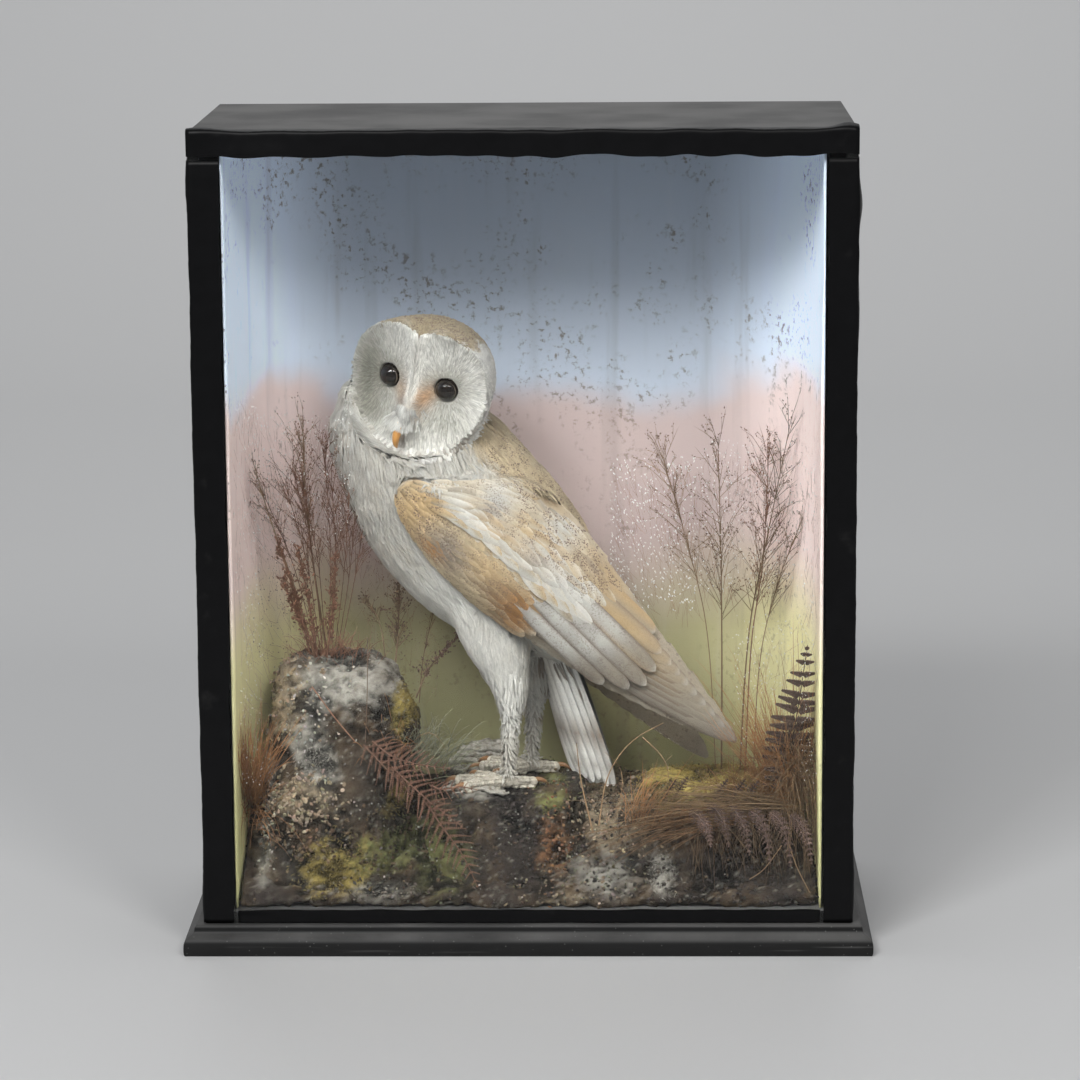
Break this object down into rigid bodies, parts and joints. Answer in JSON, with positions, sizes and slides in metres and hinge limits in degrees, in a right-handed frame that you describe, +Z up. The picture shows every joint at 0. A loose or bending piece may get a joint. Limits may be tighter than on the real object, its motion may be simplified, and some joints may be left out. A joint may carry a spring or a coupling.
{
  "type": "taxidermy barn owl in a glazed case",
  "caption": "Mounted barn owl standing side-on with its face to the glass, on rocky groundwork with dried plants, in an upright glazed case with a painted curved backdrop.",
  "frame": {"origin": "centre of the plinth's underside", "axes": "+Z up, +X along the glass to the right as seen from the front, +Y from the glass to the back board"},
  "size_m": [0.466, 0.232, 0.5569],
  "materials": {
    "ebonised_wood": "worn black varnish with dust in the mouldings",
    "paper_strip": "black gummed paper, slightly glossy, wrinkled",
    "pane": "thin clear sheet glass",
    "backdrop_paint": "matt distemper fading from blue sky through pink to green, with mould spots",
    "ceiling_paint": "matt blue distemper",
    "stone": "rough moulded rockwork with lichen and chalky patches",
    "soil": "dark crumbly soil with moss",
    "white_plumage": "soft matt white feathers",
    "buff_plumage": "golden buff feathers with grey-brown speckles",
    "toe_skin": "dry scaly skin with short bristles",
    "claw_horn": "polished dark brown horn",
    "bill_horn": "satin pinkish-orange horn",
    "eye_glass": "black-brown polished glass",
    "straw": "dry brown stems and grass",
    "fern": "dry red-brown fronds"
  },
  "bodies": {
    "root": {"plinth": "ebonised_wood", "side_board_left": "ebonised_wood", "side_board_right": "ebonised_wood", "top_board": "ebonised_wood", "back_board": "ebonised_wood", "floor_board": "ebonised_wood", "ceiling_board": "ceiling_paint", "front_glass": "pane", "strip_left": "paper_strip", "strip_right": "paper_strip", "strip_top": "paper_strip", "strip_bottom": "paper_strip", "backdrop": "backdrop_paint", "perch_rock": "stone", "tall_rock": "stone", "ledge_rock": "soil", "lichen_slab": "stone", "ground_bed": "soil", "head": "white_plumage", "bill": "bill_horn", "eye_left": "eye_glass", "eye_right": "eye_glass", "neck": "white_plumage", "trunk": "white_plumage", "wing_left": "buff_plumage", "wing_right": "buff_plumage", "leg_left": "white_plumage", "leg_right": "white_plumage", "foot_left": "toe_skin", "foot_right": "toe_skin", "claw_left_1": "claw_horn", "claw_left_2": "claw_horn", "claw_left_3": "claw_horn", "claw_left_4": "claw_horn", "claw_right_1": "claw_horn", "claw_right_2": "claw_horn", "claw_right_3": "claw_horn", "claw_right_4": "claw_horn", "tail": "white_plumage", "stalk_left_1": "straw", "stalk_left_2": "straw", "stalk_left_3": "straw", "stalk_right_1": "straw", "stalk_right_2": "straw", "fern_left_1": "fern", "fern_left_2": "fern", "fern_left_3": "fern", "fern_right_1": "fern", "fern_right_2": "fern", "tuft_left": "straw", "tuft_right": "straw", "straw_low": "straw"}
  },
  "joints": []
}
